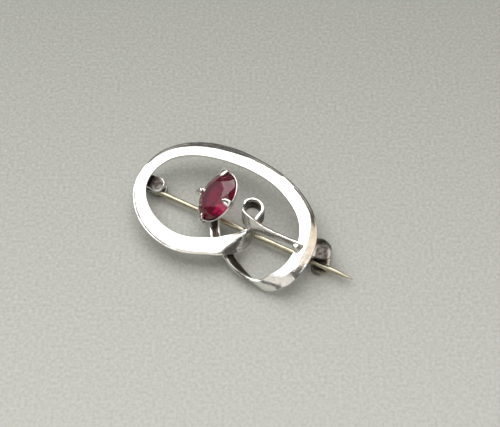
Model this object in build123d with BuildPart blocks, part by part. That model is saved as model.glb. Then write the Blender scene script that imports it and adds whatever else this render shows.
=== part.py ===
from build123d import *
import os
from math import ceil, cos, pi, radians, sin, tan

os.makedirs("parts", exist_ok=True)

# Driving sizes of the openwork frame, in millimetres
ring_length = 29.0
ring_width = 17.6
ring_lift = 3.7
ribbon_width = 2.8
ribbon_thickness = 0.5
ridge_rise = 0.32
ridge_offset = 0.14
edge_facets = 3
section_step = 1.6
section_bend = 8

# Small standing loop and the strip that ties it to the ring
loop_radius = 1.45
loop_first_turn = -28
loop_last_turn = 212
loop_stations = 8
bead_radius = 0.5
solder_radius = 0.36

# Oval stone with its table up, and the collet that holds it
stone_length = 8.0
stone_width = 6.0
crown_height = 1.1
girdle_height = 0.16
pavilion_depth = 2.4
table_share = 0.58
star_share = 0.8
lower_share = 0.26
main_facets = 8
stone_gap = 0.04
seat_gap = 0.08
collet_wall = 0.35
collet_lip = 0.3
collet_depth = 1.9
collet_foot_share = 0.62
stone_height = 5.7
stone_axis = Vector(0.153, 0.868, 0.474)
stone_normal = Vector(-0.388, -0.388, 0.835)
claw_width = 1.5
claw_tip_width = 0.3
claw_thickness = 0.3
claw_reach = 1.0
claw_root = 0.6
claw_bow = 0.1

# Pin, its hinge and the hook that catches it
wire_diameter = 0.9
pin_length = 35.2
point_length = 6.0
point_diameter = 0.16
running_gap = 0.03
ear_gap = 0.05
rivet_diameter = 0.76
ear_radius = 1.35
ear_thickness = 0.6
hinge_lean = 14
pin_turn = 1.2
eye_opening = 10
hinge_wall = 0.5
hinge_width = 2.4
hinge_back = 0.25
hook_height = 3.6
hook_back = 3.0
hook_foot = 1.6
hook_brow = 0.9
hook_thickness = 0.35
hook_width = 3.0
hook_turn = 18

# Places as shares of the half length and half width of the ring
left_edge = -1.098
hinge_place = (-0.890, 0.023)
hinge_top = 1.02
hook_place = (1.035, -0.090)
stone_place = (-0.134, 0.017)
loop_place = (0.269, 0.131)

# The ribbon's way from under the stone round to the bead. The stem's reach is a
# share of the collet's foot and its sink is in millimetres. A row is a section:
# along and across are shares of the ring's half length and half width, rise is
# a share of its lift, breadth a share of the ribbon's width, and turn is how far
# the front face has rolled outward from facing up, in degrees.
stem_rows = [
    # reach, sink, breadth, turn
    (0.62, 0.05, 0.54, 180),
    (0.95, 0.10, 0.54, 180),
]
lower_rows = [
    # along, across, rise, breadth, turn
    (-0.045, -0.375, 0.608, 0.56, 172),
    (0.010, -0.505, 0.527, 0.64, 165),
    (0.100, -0.610, 0.468, 0.72, 158),
    (0.210, -0.700, 0.414, 0.78, 153),
    (0.355, -0.830, 0.310, 0.76, 150),
    (0.500, -0.920, 0.270, 0.70, 136),
    (0.620, -0.965, 0.252, 0.68, 110),
    (0.720, -0.970, 0.330, 0.76, 74),
    (0.815, -0.900, 0.560, 0.92, 38),
    (0.908, -0.750, 0.768, 1.02, 14),
]
ring_rows = [
    # along, across, rise, breadth, turn
    (0.962, -0.477, 0.890, 1.03, 7),
    (0.966, -0.148, 0.970, 1.03, 6),
    (0.917, 0.159, 1.050, 1.02, 6),
    (0.786, 0.477, 1.135, 1.00, 6),
    (0.586, 0.727, 1.195, 0.98, 6),
    (0.338, 0.909, 1.243, 0.96, 6),
    (0.062, 0.994, 1.265, 0.95, 6),
    (-0.221, 1.001, 1.268, 0.98, 6),
    (-0.483, 0.940, 1.257, 1.00, 6),
    (-0.717, 0.800, 1.216, 0.90, 6),
    (-0.910, 0.537, 1.149, 0.77, 6),
    (-1.017, 0.170, 1.054, 0.70, 6),
    (-1.017, -0.205, 0.960, 0.72, 6),
    (-0.897, -0.568, 0.878, 0.80, 6),
    (-0.690, -0.841, 0.811, 0.93, 6),
    (-0.441, -0.977, 0.776, 1.00, 6),
    (-0.200, -0.955, 0.784, 1.02, 7),
    (0.021, -0.810, 0.818, 1.04, 8),
    (0.170, -0.676, 0.835, 1.10, 18),
    (0.280, -0.498, 0.800, 1.13, 45),
    (0.332, -0.258, 0.765, 1.05, 76),
    (0.345, -0.085, 0.880, 0.90, 90),
]
crossing_rows = [
    # along, across, rise, breadth, turn
    (0.207, -0.060, 1.360, 0.99, 90),
    (0.258, -0.150, 1.455, 0.96, 90),
    (0.318, -0.203, 1.525, 0.92, 90),
    (0.405, -0.223, 1.505, 0.72, 90),
    (0.510, -0.220, 1.435, 0.57, 90),
    (0.655, -0.199, 1.340, 0.48, 90),
    (0.770, -0.176, 1.265, 0.45, 90),
    (0.865, -0.156, 1.245, 0.34, 90),
    (0.932, -0.145, 1.250, 0.26, 90),
]
solder_spots = [
    # along, across, rise, radius
    (0.880, -0.200, 1.165, bead_radius),
    (0.925, -0.145, 1.130, 0.8 * solder_radius),
    (0.300, -0.202, 1.125, solder_radius),
]
loop_rise = (0.960, 1.260)
loop_breadth = (0.93, 1.03)

# Values worked out from the driving sizes
half_length = ring_length / 2
half_width = ring_width / 2
wire_radius = wire_diameter / 2
rivet_radius = rivet_diameter / 2
eye_radius = rivet_radius + running_gap + wire_radius
ear_room = wire_diameter + 2 * ear_gap
stack_half = ear_room / 2 + ear_thickness
hinge_height = stack_half * cos(radians(hinge_lean)) + ear_radius * sin(radians(hinge_lean))
ring_left = left_edge * half_length
pin_tip = hinge_place[0] * half_length + pin_length * cos(radians(pin_turn))
middle = (ring_left + pin_tip) / 2


def place(along, across, height):
    """Gives the point at these shares of the ring and this height."""
    return Vector(along * half_length - middle, across * half_width, height)


def lerp(pair, share):
    """Gives the value at a share of the way between two."""
    return pair[0] + (pair[1] - pair[0]) * share


def row_point(row):
    """Gives the middle of a row's section."""
    return place(row[0], row[1], row[2] * ring_lift)


# Stone frame: its middle is in the girdle, with the long axis along local X
stone_plane = Plane(
    origin=place(stone_place[0], stone_place[1], stone_height),
    x_dir=stone_axis,
    z_dir=stone_normal,
)


def collet_radii(depth):
    """Gives the collet's outer half axes at a depth below the girdle."""
    share = lerp((1.0, collet_foot_share), depth / collet_depth)
    return (
        (stone_length / 2 + collet_lip) * share,
        (stone_width / 2 + collet_lip) * share,
    )


def stem_point(depth, reach):
    """Gives a point under the collet's near end."""
    return stone_plane.from_local_coords(Vector(-collet_radii(collet_depth)[0] * reach, 0, -depth))


# Rows of the whole ribbon: middle point, breadth and turn
ribbon = []
for reach, sink, breadth, turn in stem_rows:
    ribbon.append((stem_point(collet_depth + sink, reach), breadth * ribbon_width, turn))
for row in lower_rows + ring_rows:
    ribbon.append((row_point(row), row[3] * ribbon_width, row[4]))
loop_centre = place(loop_place[0], loop_place[1], 0)
for index in range(loop_stations):
    share = index / (loop_stations - 1)
    angle = radians(lerp((loop_first_turn, loop_last_turn), share))
    spot = loop_centre + Vector(loop_radius * cos(angle), loop_radius * sin(angle), 0)
    spot.Z = lerp(loop_rise, share) * ring_lift
    ribbon.append((spot, lerp(loop_breadth, sin(pi * share)) * ribbon_width, 90))
for row in crossing_rows:
    ribbon.append((row_point(row), row[3] * ribbon_width, row[4]))

# Sections between the rows lie on one smooth curve through the middle points
with BuildLine() as ribbon_way:
    Spline(*[point for point, breadth, turn in ribbon])
ribbon_curve = ribbon_way.edges()[0]
stations = []
for (start, start_breadth, start_turn), (finish, finish_breadth, finish_turn) in zip(ribbon, ribbon[1:]):
    first = ribbon_curve.param_at_point(start)
    last = ribbon_curve.param_at_point(finish)
    bend = (ribbon_curve % first).get_angle(ribbon_curve % last)
    count = ceil(max((finish - start).length / section_step, bend / section_bend))
    for step in range(count):
        share = step / count
        spot = lerp((first, last), share)
        breadth = lerp((start_breadth, finish_breadth), share)
        stations.append((spot, breadth, lerp((start_turn, finish_turn), share)))
stations.append((1.0, ribbon[-1][1], ribbon[-1][2]))


def section_plane(spot, turn):
    """Gives the plane of a section, with local X to the outer edge and local Y forward."""
    along = ribbon_curve % spot
    side = along.cross(Vector(0, 0, 1)).normalized()
    upward = side.cross(along)
    outward = side * cos(radians(turn)) - upward * sin(radians(turn))
    return Plane(origin=ribbon_curve @ spot, x_dir=outward, z_dir=-along)


def edge_corners(middle, first_angle):
    """Gives the corners of one rounded edge of the ribbon's section."""
    edge = ribbon_thickness / 2
    angles = [radians(first_angle + 180 * index / edge_facets) for index in range(edge_facets + 1)]
    return [(middle + edge * cos(angle), edge * sin(angle)) for angle in angles]


def ribbon_section(spot, breadth, turn):
    """Draws one section of the ribbon: a flat back, rounded edges and a low ridge."""
    edge = ribbon_thickness / 2
    ridge_share = breadth / ribbon_width
    ridge = (-ridge_offset * ridge_share, edge + ridge_rise * ridge_share)
    outer = edge_corners(breadth / 2 - edge, -90)
    inner = edge_corners(edge - breadth / 2, 90)
    with BuildSketch(section_plane(spot, turn)) as section:
        with BuildLine():
            Polyline(*outer, ridge, *inner, close=True)
        make_face()
    return section.sketch


def crown_at(inset, radius):
    """Gives the crown's height at this distance in from the girdle."""
    return girdle_height / 2 + crown_height * inset / (radius * (1 - table_share))


def claw_sections(angle, radius, root):
    """Draws the sections of one pointed claw, from the collet's wall up over the crown."""
    lead = Vector(cos(radians(angle)), sin(radians(angle)), 0)
    across = Vector(-lead.Y, lead.X, 0)
    rise = stone_gap + claw_thickness / 2
    shoulder = claw_reach / 4
    points = [
        (root, -claw_root),
        (radius + seat_gap + claw_thickness / 2, claw_bow),
        (radius - shoulder, crown_at(shoulder, radius) + rise + claw_bow),
        (radius - claw_reach, crown_at(claw_reach, radius) + rise),
    ]
    sections = []
    for index, (out, up) in enumerate(points):
        start = points[max(index - 1, 0)]
        finish = points[min(index + 1, len(points) - 1)]
        way = lead * (finish[0] - start[0]) + Vector(0, 0, finish[1] - start[1])
        centre = lead * out + Vector(0, 0, up)
        width = lerp((claw_width, claw_tip_width), index / (len(points) - 1))
        plane = Plane(
            origin=stone_plane.from_local_coords(centre),
            x_dir=stone_plane.from_local_coords(across) - stone_plane.origin,
            z_dir=stone_plane.from_local_coords(way) - stone_plane.origin,
        )
        with BuildSketch(plane) as section:
            Rectangle(width, claw_thickness)
        sections.append(section.sketch)
    return sections


def oval_section(height, radii):
    """Draws an oval at this height of the stone's frame."""
    with BuildSketch(stone_plane.offset(height)) as section:
        Ellipse(*radii)
    return section.sketch


# Hinge frame: its middle is in the pin's eye, with the rivet along local Z
lean = radians(hinge_lean)
pin_way = Vector(cos(radians(pin_turn)), -sin(radians(pin_turn)), 0)
hinge_plane = Plane(
    origin=place(hinge_place[0], hinge_place[1], hinge_height),
    x_dir=pin_way,
    z_dir=Vector(pin_way.Y * sin(lean), -pin_way.X * sin(lean), cos(lean)),
)
wall_top = (hinge_top * ring_lift - hinge_height) / cos(lean)
wall_place = -(ear_radius + hinge_back)
foot_depth = 2 * ear_radius * tan(lean)
foot_room = 4 * ear_radius

# Hook frame: local X runs to the hook's back and local Z along the strip's width
hook_plane = Plane(
    origin=place(hook_place[0], hook_place[1], hook_height / 2),
    x_dir=(-sin(radians(hook_turn)), cos(radians(hook_turn)), 0),
    z_dir=(cos(radians(hook_turn)), sin(radians(hook_turn)), 0),
)
hook_half = hook_height / 2

# Frame: setting, ribbon, hinge ears and hook soldered together
with BuildPart() as frame:
    top_radii = collet_radii(0)
    foot_radii = collet_radii(collet_depth)
    loft(
        [
            oval_section(-collet_depth, foot_radii),
            oval_section(-girdle_height / 2 - stone_gap, top_radii),
        ]
    )
    loft(
        [
            oval_section(-collet_depth - stone_gap, [radius - collet_wall for radius in foot_radii]),
            oval_section(0, [stone_length / 2 + seat_gap, stone_width / 2 + seat_gap]),
        ],
        mode=Mode.SUBTRACT,
    )
    root_radii = collet_radii(claw_root)
    for angle in (0, 180):
        loft(claw_sections(angle, stone_length / 2, root_radii[0]), ruled=True)
    for angle in (90, 270):
        loft(claw_sections(angle, stone_width / 2, root_radii[1]), ruled=True)
    loft([ribbon_section(*station) for station in stations], ruled=True)
    for along, across, rise, radius in solder_spots:
        with Locations(place(along, across, rise * ring_lift)):
            Sphere(radius)
    for bottom, thickness in (
        (ear_room / 2, ear_thickness),
        (-stack_half - foot_depth, foot_depth + ear_thickness),
    ):
        with BuildSketch(hinge_plane.offset(bottom)):
            Circle(ear_radius)
            with Locations((wall_place / 2, 0)):
                Rectangle(-wall_place, hinge_width)
            Circle(rivet_radius + running_gap, mode=Mode.SUBTRACT)
        extrude(amount=thickness)
    with BuildSketch(hinge_plane.offset(-stack_half - foot_depth)):
        with Locations((wall_place - hinge_wall / 2, 0)):
            Rectangle(hinge_wall, hinge_width)
    extrude(amount=stack_half + foot_depth + wall_top)
    with Locations(place(hinge_place[0], hinge_place[1], 0)):
        Box(
            foot_room,
            foot_room,
            foot_room,
            align=(Align.CENTER, Align.CENTER, Align.MAX),
            mode=Mode.SUBTRACT,
        )
    with BuildSketch(hook_plane):
        Ellipse(hook_back, hook_half)
        Rectangle(hook_foot, hook_height, align=(Align.MAX, Align.CENTER))
        Ellipse(hook_back - hook_thickness, hook_half - hook_thickness, mode=Mode.SUBTRACT)
        Rectangle(
            hook_back,
            hook_height - 2 * hook_thickness,
            align=(Align.MAX, Align.CENTER),
            mode=Mode.SUBTRACT,
        )
        with Locations((-hook_foot, 0)):
            Rectangle(hook_back, hook_height, align=(Align.MAX, Align.CENTER), mode=Mode.SUBTRACT)
        with Locations((-hook_brow, 0)):
            Rectangle(hook_back, hook_height, align=(Align.MAX, Align.MIN), mode=Mode.SUBTRACT)
    extrude(amount=hook_width)
frame.part.label = "frame"

# Stone: a brilliant cut drawn on a unit circle and stretched to the oval
def ring_of(count, radius, height, first_angle):
    """Gives one ring of the stone's corners."""
    corners = []
    for index in range(count):
        angle = radians(first_angle + 360 * index / count)
        corners.append(
            stone_plane.from_local_coords(
                Vector(
                    radius * cos(angle) * stone_length / 2,
                    radius * sin(angle) * stone_width / 2,
                    height,
                )
            )
        )
    return corners


half_step = 180 / main_facets
crown_top = girdle_height / 2 + crown_height
culet_height = -girdle_height / 2 - pavilion_depth
inset_share = cos(radians(half_step))
star_height = girdle_height / 2 + crown_height * (1 - star_share * inset_share) / (1 - table_share)
lower_height = culet_height + pavilion_depth * lower_share * inset_share
table = ring_of(main_facets, table_share, crown_top, 0)
stars = ring_of(main_facets, star_share, star_height, half_step)
girdle_top = ring_of(2 * main_facets, 1, girdle_height / 2, 0)
girdle_foot = ring_of(2 * main_facets, 1, -girdle_height / 2, 0)
lowers = ring_of(main_facets, lower_share, lower_height, half_step)
culet = stone_plane.from_local_coords(Vector(0, 0, culet_height))

facets = [table]
for index in range(main_facets):
    follow = (index + 1) % main_facets
    last = index - 1
    even = 2 * index
    odd = even + 1
    even_follow = (even + 2) % (2 * main_facets)
    facets.append([table[index], table[follow], stars[index]])
    facets.append([table[index], stars[index], girdle_top[even], stars[last]])
    facets.append([stars[index], girdle_top[even], girdle_top[odd]])
    facets.append([stars[index], girdle_top[odd], girdle_top[even_follow]])
    facets.append([girdle_top[even], girdle_top[odd], girdle_foot[odd], girdle_foot[even]])
    facets.append(
        [girdle_top[odd], girdle_top[even_follow], girdle_foot[even_follow], girdle_foot[odd]]
    )
    facets.append([lowers[index], girdle_foot[even], girdle_foot[odd]])
    facets.append([lowers[index], girdle_foot[odd], girdle_foot[even_follow]])
    facets.append([culet, lowers[index], girdle_foot[even], lowers[last]])

with BuildPart() as stone:
    add(Solid(Shell([Face(Wire.make_polygon(corners)) for corners in facets])))
stone.part.label = "stone"

# Pin: one wire bent round the rivet, with a long point
with BuildPart() as pin:
    wire_start = hinge_plane.from_local_coords(Vector(0, -eye_radius, 0))
    with BuildLine(hinge_plane) as bend:
        CenterArc((0, 0), eye_radius, eye_opening, 270 - eye_opening)
    with BuildSketch(Plane(origin=wire_start, z_dir=pin_way)):
        Circle(wire_radius)
    sweep(path=bend.wires()[0])
    with BuildSketch(Plane(origin=wire_start, x_dir=pin_way, z_dir=hinge_plane.y_dir)):
        Polygon(
            (0, 0),
            (pin_length, 0),
            (pin_length, point_diameter / 2),
            (pin_length - point_length, wire_radius),
            (0, wire_radius),
            align=None,
        )
    revolve(axis=Axis(wire_start, pin_way))
pin.part.label = "pin"

# Rivet: a plain shaft through both ears and the eye
with BuildPart() as hinge_rivet:
    with BuildSketch(hinge_plane.offset(-stack_half)):
        Circle(rivet_radius)
    extrude(amount=2 * stack_half)
hinge_rivet.part.label = "hinge_rivet"

export_step(frame.part, "parts/frame.step")
export_step(stone.part, "parts/stone.step")
export_step(pin.part, "parts/pin.step")
export_step(hinge_rivet.part, "parts/hinge_rivet.step")
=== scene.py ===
from math import asin, ceil, cos, hypot, pi, radians, sin, tan
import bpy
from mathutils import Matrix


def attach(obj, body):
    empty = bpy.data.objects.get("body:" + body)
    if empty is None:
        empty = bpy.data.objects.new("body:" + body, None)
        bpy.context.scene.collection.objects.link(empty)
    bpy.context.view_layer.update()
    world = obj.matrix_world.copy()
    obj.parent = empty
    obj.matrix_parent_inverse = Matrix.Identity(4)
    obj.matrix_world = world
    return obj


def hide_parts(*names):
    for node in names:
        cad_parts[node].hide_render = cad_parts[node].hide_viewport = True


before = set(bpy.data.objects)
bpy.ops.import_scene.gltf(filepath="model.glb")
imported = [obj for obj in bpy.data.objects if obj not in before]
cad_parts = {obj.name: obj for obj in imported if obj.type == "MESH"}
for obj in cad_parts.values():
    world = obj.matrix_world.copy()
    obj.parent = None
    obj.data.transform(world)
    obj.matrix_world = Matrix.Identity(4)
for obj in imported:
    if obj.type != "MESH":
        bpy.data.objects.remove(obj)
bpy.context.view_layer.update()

from types import SimpleNamespace

import bmesh
import bpy
import numpy as np
from mathutils import Matrix, Vector

bl_info = {
    "name": "Garnet brooch",
    "version": (1, 0, 0),
    "blender": (4, 5, 0),
    "location": "3D View > Sidebar > Brooch",
    "description": "Models a ribbon brooch with its garnet, collet, claws, hinge, hook and pin",
    "category": "Object",
}

# All lengths below are in millimetres, and a finished piece is scaled to metres
MM = 0.001
# Points and levels nearer than this are taken as one
NEAR = 1e-4

# Sizes of the openwork frame
HALF_LENGTH = 14.5
HALF_WIDTH = 8.8
RING_LIFT = 3.7
RIBBON_WIDTH = 2.8
LOOP_RADIUS = 1.45
LOOP_TURNS = (-28, 212)
LOOP_STATIONS = 8
LOOP_PLACE = (0.269, 0.131)
LOOP_RISE = (0.960, 1.260)
LOOP_BREADTH = (0.93, 1.03)
LOOP_RIDGE = 0.05
# The loop's front is darkened, partly patina and partly painted shade
LOOP_PATINA_AND_SHADE = (1.0, 0.8)
# Length over which the ribbon's breadth, turn and ridge change gently
EASE_REACH = 0.9
# Up to the first height a ridge is a soft crown, and from the second a crisp crease
RIDGE_HEIGHTS = (0.16, 0.24)
RIDGE_POWERS = (2.0, 1.15)
EDGE_ANGLES = (-90, -70, -45, -15, 15, 45, 70, 90)
# Places over the front, as shares of the way from the ridge to the outer and inner edge
FRONT_PLACES = ((1, (0.92, 0.65, 0.45, 0.2, 0.0)), (-1, (0.2, 0.45, 0.65, 0.85)))
# The hollow side: share of the half breadth, and how dark it is, partly patina and partly painted
# shade
HOLLOW_PATINA_AND_SHADE = ((-0.88, 0.1), (-0.74, 1.0), (0.0, 1.0), (0.74, 1.0), (0.88, 0.1))

# Sizes of the stone's setting
STONE_RADII = (4.0, 3.0)
STONE_PLACE = (-0.134, 0.017, 5.7)
STONE_AXIS = Vector((0.153, 0.868, 0.474))
STONE_NORMAL = Vector((-0.388, -0.388, 0.835))
CROWN_HEIGHT = 1.1
GIRDLE_HEIGHT = 0.16
TABLE_SHARE = 0.58
SEAT_GAP = 0.08
CLAW_GAP = 0.04
COLLET_LIP = 0.3
COLLET_WALL = 0.35
COLLET_DEPTH = 1.9
COLLET_FOOT = 0.62
COLLET_SOFTNESS = 0.06
COLLET_STEPS = 96
# How far a claw's knee bows upward
CLAW_BOW = 0.1
# The tip's share of the length, and how blunt it stays
CLAW_TIP = 0.30
CLAW_BLUNT = 0.02
# At its tip a claw keeps these shares of its width and of its thickness
CLAW_TAPER = (0.6, 0.45)
# Below 1 its section is squarer than an oval, in width and in thickness
CLAW_POWERS = (0.7, 0.9)
CLAW_STEPS = 18
CLAW_CORNERS = 16
# Where the groove starts and ends along the claw
CLAW_GROOVE = (0.5, 0.86)
# Its depth, as a share of half the claw's thickness
GROOVE_DEPTH = 0.8

# Sizes of the pin, its hinge and the hook
WIRE_RADIUS = 0.45
WIRE_CORNERS = 28
EYE_RADIUS = 0.86
EYE_OPENING = 10
EYE_STEPS = 40
# The eye's cut end: distance along the wire, and share of its radius
EYE_END = ((0.0, 0.62), (0.03, 0.84), (0.09, 0.96))
EYE_END_LENGTH = 0.16
PIN_LENGTH = 35.2
POINT_LENGTH = 6.0
POINT_RADIUS = 0.08
POINT_CAP = 0.06
# The point's rounded end: distance past the cone, and share of its radius
POINT_END = ((0.03, 0.8), (0.055, 0.4))
SHAFT_STEPS = 30
POINT_STEPS = 20
PIN_TURN = 1.2
RIVET_RADIUS = 0.38
RIVET_BEVEL = 0.05
# How far each end of the rivet lies inside the ear
RIVET_INSET = (0.05, 0.15)
EAR_RADIUS = 1.35
EAR_STEPS = 48
EAR_THICKNESS = 0.6
EAR_ROOM = 1.0
HINGE_LEAN = 14
HINGE_PLACE = (-0.890, 0.023)
HINGE_TOP = 1.02
HINGE_WALL = 0.5
HINGE_WIDTH = 2.4
HINGE_BACK = 0.25
HINGE_BEVEL = 0.08
# Patina and painted shade of the top and the side. The upper ear's top is painted dark as shade,
# and its side is kept light so its rim shows as a painted highlight
UPPER_EAR_PATINA_AND_SHADE = (0.95, 0.3)
LOWER_EAR_PATINA_AND_SHADE = (0.9, 0.7)
HINGE_PATINA_AND_SHADE = (0.6, 0.8)
# The hinge's wall is this much wider and deeper than the ears, so that no two faces meet
HINGE_PROUD = 0.02
HOOK_PLACE = (1.035, -0.090)
HOOK_HEIGHT = 3.6
HOOK_BACK = 3.0
HOOK_FOOT = 1.6
HOOK_BROW = 0.9
HOOK_THICKNESS = 0.35
HOOK_WIDTH = 3.0
HOOK_TURN = 18
HOOK_STEPS = 30
# How much the strip bulges at its back and at its foot, as a share of the depth
HOOK_BULGES = (0.10, 0.5)
# The strip narrows over its highest bend, which lies this way and this far
HOOK_BEND_WAY = (0.86, 0.5)
HOOK_BEND_REACH = 1.8
HOOK_NARROWING = 0.45
# The outer face: share of the width, and how dark it is, partly patina and partly painted shade on
# the face that would catch the light
HOOK_PATINA_AND_SHADE = ((0.82, 0.95), (0.66, 1.0), (0.45, 1.0), (0.2, 0.97))
HOOK_RIM_PATINA_AND_SHADE = (0.55, 0.5)
# The share of the patina and painted shade that is left at the foot's near end, which is lighter
HOOK_END_LIGHTENING = (0.35, 0.55, 0.85)

STACK_HALF = EAR_ROOM / 2 + EAR_THICKNESS
LEAN = radians(HINGE_LEAN)
HINGE_HEIGHT = STACK_HALF * cos(LEAN) + EAR_RADIUS * sin(LEAN)
RING_LEFT = -1.098 * HALF_LENGTH
PIN_TIP = HINGE_PLACE[0] * HALF_LENGTH + PIN_LENGTH * cos(radians(PIN_TURN))
MIDDLE = (RING_LEFT + PIN_TIP) / 2

# The ribbon's way, from under the stone round to the loop. Along and across are shares
# of the ring's half length and half width, rise of its lift, and breadth of the ribbon's
# width. Turn is how far the front has rolled outward, in degrees. Crest is the place of
# the front's ridge, from -1 at the inner edge to 1 at the outer one, and ridge is its
# height in millimetres. The last column is how dark the front is painted, from 0 to 1:
# partly patina, partly painted shade near the stone and where the ribbon stands on edge
RIBBON_ROWS = [
    # along, across, rise, breadth, turn, crest, ridge, patina and painted shade
    (-0.045, -0.375, 0.608, 0.56, 172, 0.0, 0.05, 0.3),
    (0.010, -0.505, 0.527, 0.64, 165, 0.0, 0.05, 0.3),
    (0.100, -0.610, 0.468, 0.72, 158, 0.0, 0.05, 0.3),
    (0.210, -0.700, 0.414, 0.78, 153, 0.0, 0.05, 0.2),
    (0.355, -0.830, 0.310, 0.76, 150, 0.0, 0.05, 0.1),
    (0.500, -0.920, 0.270, 0.70, 136, 0.0, 0.06, 0.0),
    (0.620, -0.965, 0.252, 0.68, 110, 0.0, 0.08, 0.0),
    (0.720, -0.970, 0.330, 0.76, 74, 0.0, 0.10, 0.0),
    (0.815, -0.900, 0.560, 0.92, 38, 0.0, 0.14, 0.0),
    (0.908, -0.750, 0.768, 1.02, 14, 0.0, 0.18, 0.0),
    (0.962, -0.477, 0.890, 1.03, 7, -0.05, 0.24, 0.0),
    (0.966, -0.148, 0.970, 1.03, 6, -0.2, 0.26, 0.0),
    (0.917, 0.159, 1.050, 1.02, 6, 0.0, 0.27, 0.0),
    (0.786, 0.477, 1.135, 1.00, 6, 0.6, 0.28, 0.0),
    (0.586, 0.727, 1.195, 0.98, 6, 0.7, 0.28, 0.0),
    (0.338, 0.909, 1.243, 0.96, 6, 0.7, 0.28, 0.0),
    (0.062, 0.999, 1.265, 0.98, 6, 0.5, 0.30, 0.0),
    (-0.223, 1.021, 1.268, 1.10, 6, 0.0, 0.40, 0.1),
    (-0.488, 0.960, 1.257, 1.12, 6, -0.1, 0.40, 0.1),
    (-0.724, 0.818, 1.216, 1.02, 6, -0.1, 0.38, 0.1),
    (-0.919, 0.548, 1.149, 0.87, 6, 0.25, 0.34, 0.1),
    (-1.019, 0.170, 1.054, 0.72, 6, 0.60, 0.27, 0.0),
    (-1.017, -0.205, 0.960, 0.72, 6, 0.75, 0.20, 0.0),
    (-0.897, -0.568, 0.878, 0.80, 6, 0.70, 0.15, 0.0),
    (-0.690, -0.841, 0.811, 0.93, 6, 0.60, 0.13, 0.0),
    (-0.441, -0.977, 0.776, 1.00, 6, 0.70, 0.11, 0.0),
    (-0.200, -0.955, 0.784, 1.02, 7, 0.80, 0.09, 0.0),
    (0.021, -0.810, 0.818, 1.04, 8, 0.90, 0.04, 0.0),
    (0.112, -0.744, 0.832, 1.07, 13, 0.86, 0.10, 0.0),
    (0.170, -0.676, 0.835, 1.10, 18, 0.46, 0.34, 0.1),
    (0.280, -0.498, 0.800, 1.13, 45, -0.58, 0.42, 0.42),
    (0.332, -0.258, 0.765, 1.05, 76, -0.90, 0.20, 0.6),
    (0.345, -0.085, 0.880, 0.90, 90, 0.0, 0.05, 0.9),
]
# From the loop over the crossing and along the tie strip
CROSSING_ROWS = [
    # along, across, rise, breadth, turn, crest, ridge, patina and painted shade
    (0.207, -0.060, 1.360, 0.99, 90, 0.0, 0.06, 0.5),
    (0.258, -0.150, 1.455, 0.96, 85, 0.0, 0.06, 0.1),
    (0.318, -0.203, 1.525, 0.92, 75, 0.0, 0.06, 0.0),
    (0.405, -0.223, 1.505, 0.72, 75, 0.0, 0.06, 0.3),
    (0.510, -0.220, 1.435, 0.57, 81, 0.0, 0.06, 0.6),
    (0.655, -0.199, 1.340, 0.48, 86, 0.0, 0.06, 0.75),
    (0.770, -0.176, 1.265, 0.45, 86, 0.0, 0.06, 0.7),
    (0.865, -0.156, 1.245, 0.34, 84, 0.0, 0.06, 0.5),
    (0.932, -0.145, 1.250, 0.26, 84, 0.0, 0.06, 0.0),
]
# Turn is the claw's place round the stone in degrees, reach how far it lies over the
# crown, stand how far its knee stands off, and groove is 1 where a slot is filed in it
CLAWS = [
    # turn, width, reach, stand, thickness, groove
    (16, 1.75, 0.80, 0.18, 0.42, 0.0),
    (101, 1.60, 0.62, 0.44, 0.60, 0.0),
    (179, 1.25, 0.62, 0.22, 0.60, 0.0),
    (270, 1.50, 0.95, 0.0, 0.42, 1.0),
]
# The ribbon's root: reach is a share of the collet's foot, and sink how far under it
STEM_ROWS = [
    # reach, sink, breadth, turn, crest, ridge, patina and painted shade
    (0.62, 0.05, 0.54, 180, 0.0, 0.05, 0.3),
    (0.95, 0.10, 0.54, 180, 0.0, 0.05, 0.3),
]
# The bead at the tie strip's end, and the drops of solder beside it and at the crossing
BEADS = [
    # along, across, rise, radius, flattening
    (0.876, -0.200, 1.205, 0.62, 0.58),
    (0.925, -0.145, 1.130, 0.30, 0.90),
    (0.300, -0.202, 1.125, 0.36, 0.90),
]

CAMERA_TURN = 27
CAMERA_RISE = 56
CAMERA_FIELD = 25
CAMERA_DISTANCE = 179.0
CAMERA_AIM = (2.95 - MIDDLE, 1.85, 2.0)

# The floor lies a hair under the brooch, so that no two faces meet
FLOOR_DROP = -0.02
FLOOR_HALF = 800
LIGHTS = [
    # name, way, distance and breadth in metres, property that holds the power, colour
    ("key light", (-0.40, 0.30, 0.86), 0.40, 0.56, "key_power", (1.0, 1.0, 1.0)),
    ("warm light", (0.30, 0.50, 0.80), 0.45, 0.28, "warm_power", (1.0, 0.86, 0.68)),
    ("front light", (0.12, -0.60, 0.70), 0.50, 0.58, "front_power", (1.0, 0.96, 0.90)),
    ("left light", (-0.86, -0.12, 0.46), 0.50, 0.26, "left_power", (0.95, 0.94, 1.0)),
    ("spark light", (0.26, 0.15, 0.95), 0.45, 0.05, "spark_power", (0.94, 0.93, 1.0)),
]
ROOM_COLOUR = (1.0, 0.93, 0.88, 1.0)


def place(along, across, height):
    """Gives the point at these shares of the ring and this height."""
    return Vector((along * HALF_LENGTH - MIDDLE, across * HALF_WIDTH, height))


def lerp(pair, share):
    """Gives the value at a share of the way between two."""
    return pair[0] + (pair[1] - pair[0]) * share


def local_frame(origin, x_dir, z_dir):
    """Gives the matrix that carries local points to this origin and these directions."""
    z_axis = z_dir.normalized()
    x_axis = (x_dir - z_axis * x_dir.dot(z_axis)).normalized()
    y_axis = z_axis.cross(x_axis)
    matrix = Matrix((x_axis, y_axis, z_axis)).transposed().to_4x4()
    matrix.translation = origin
    return matrix


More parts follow.
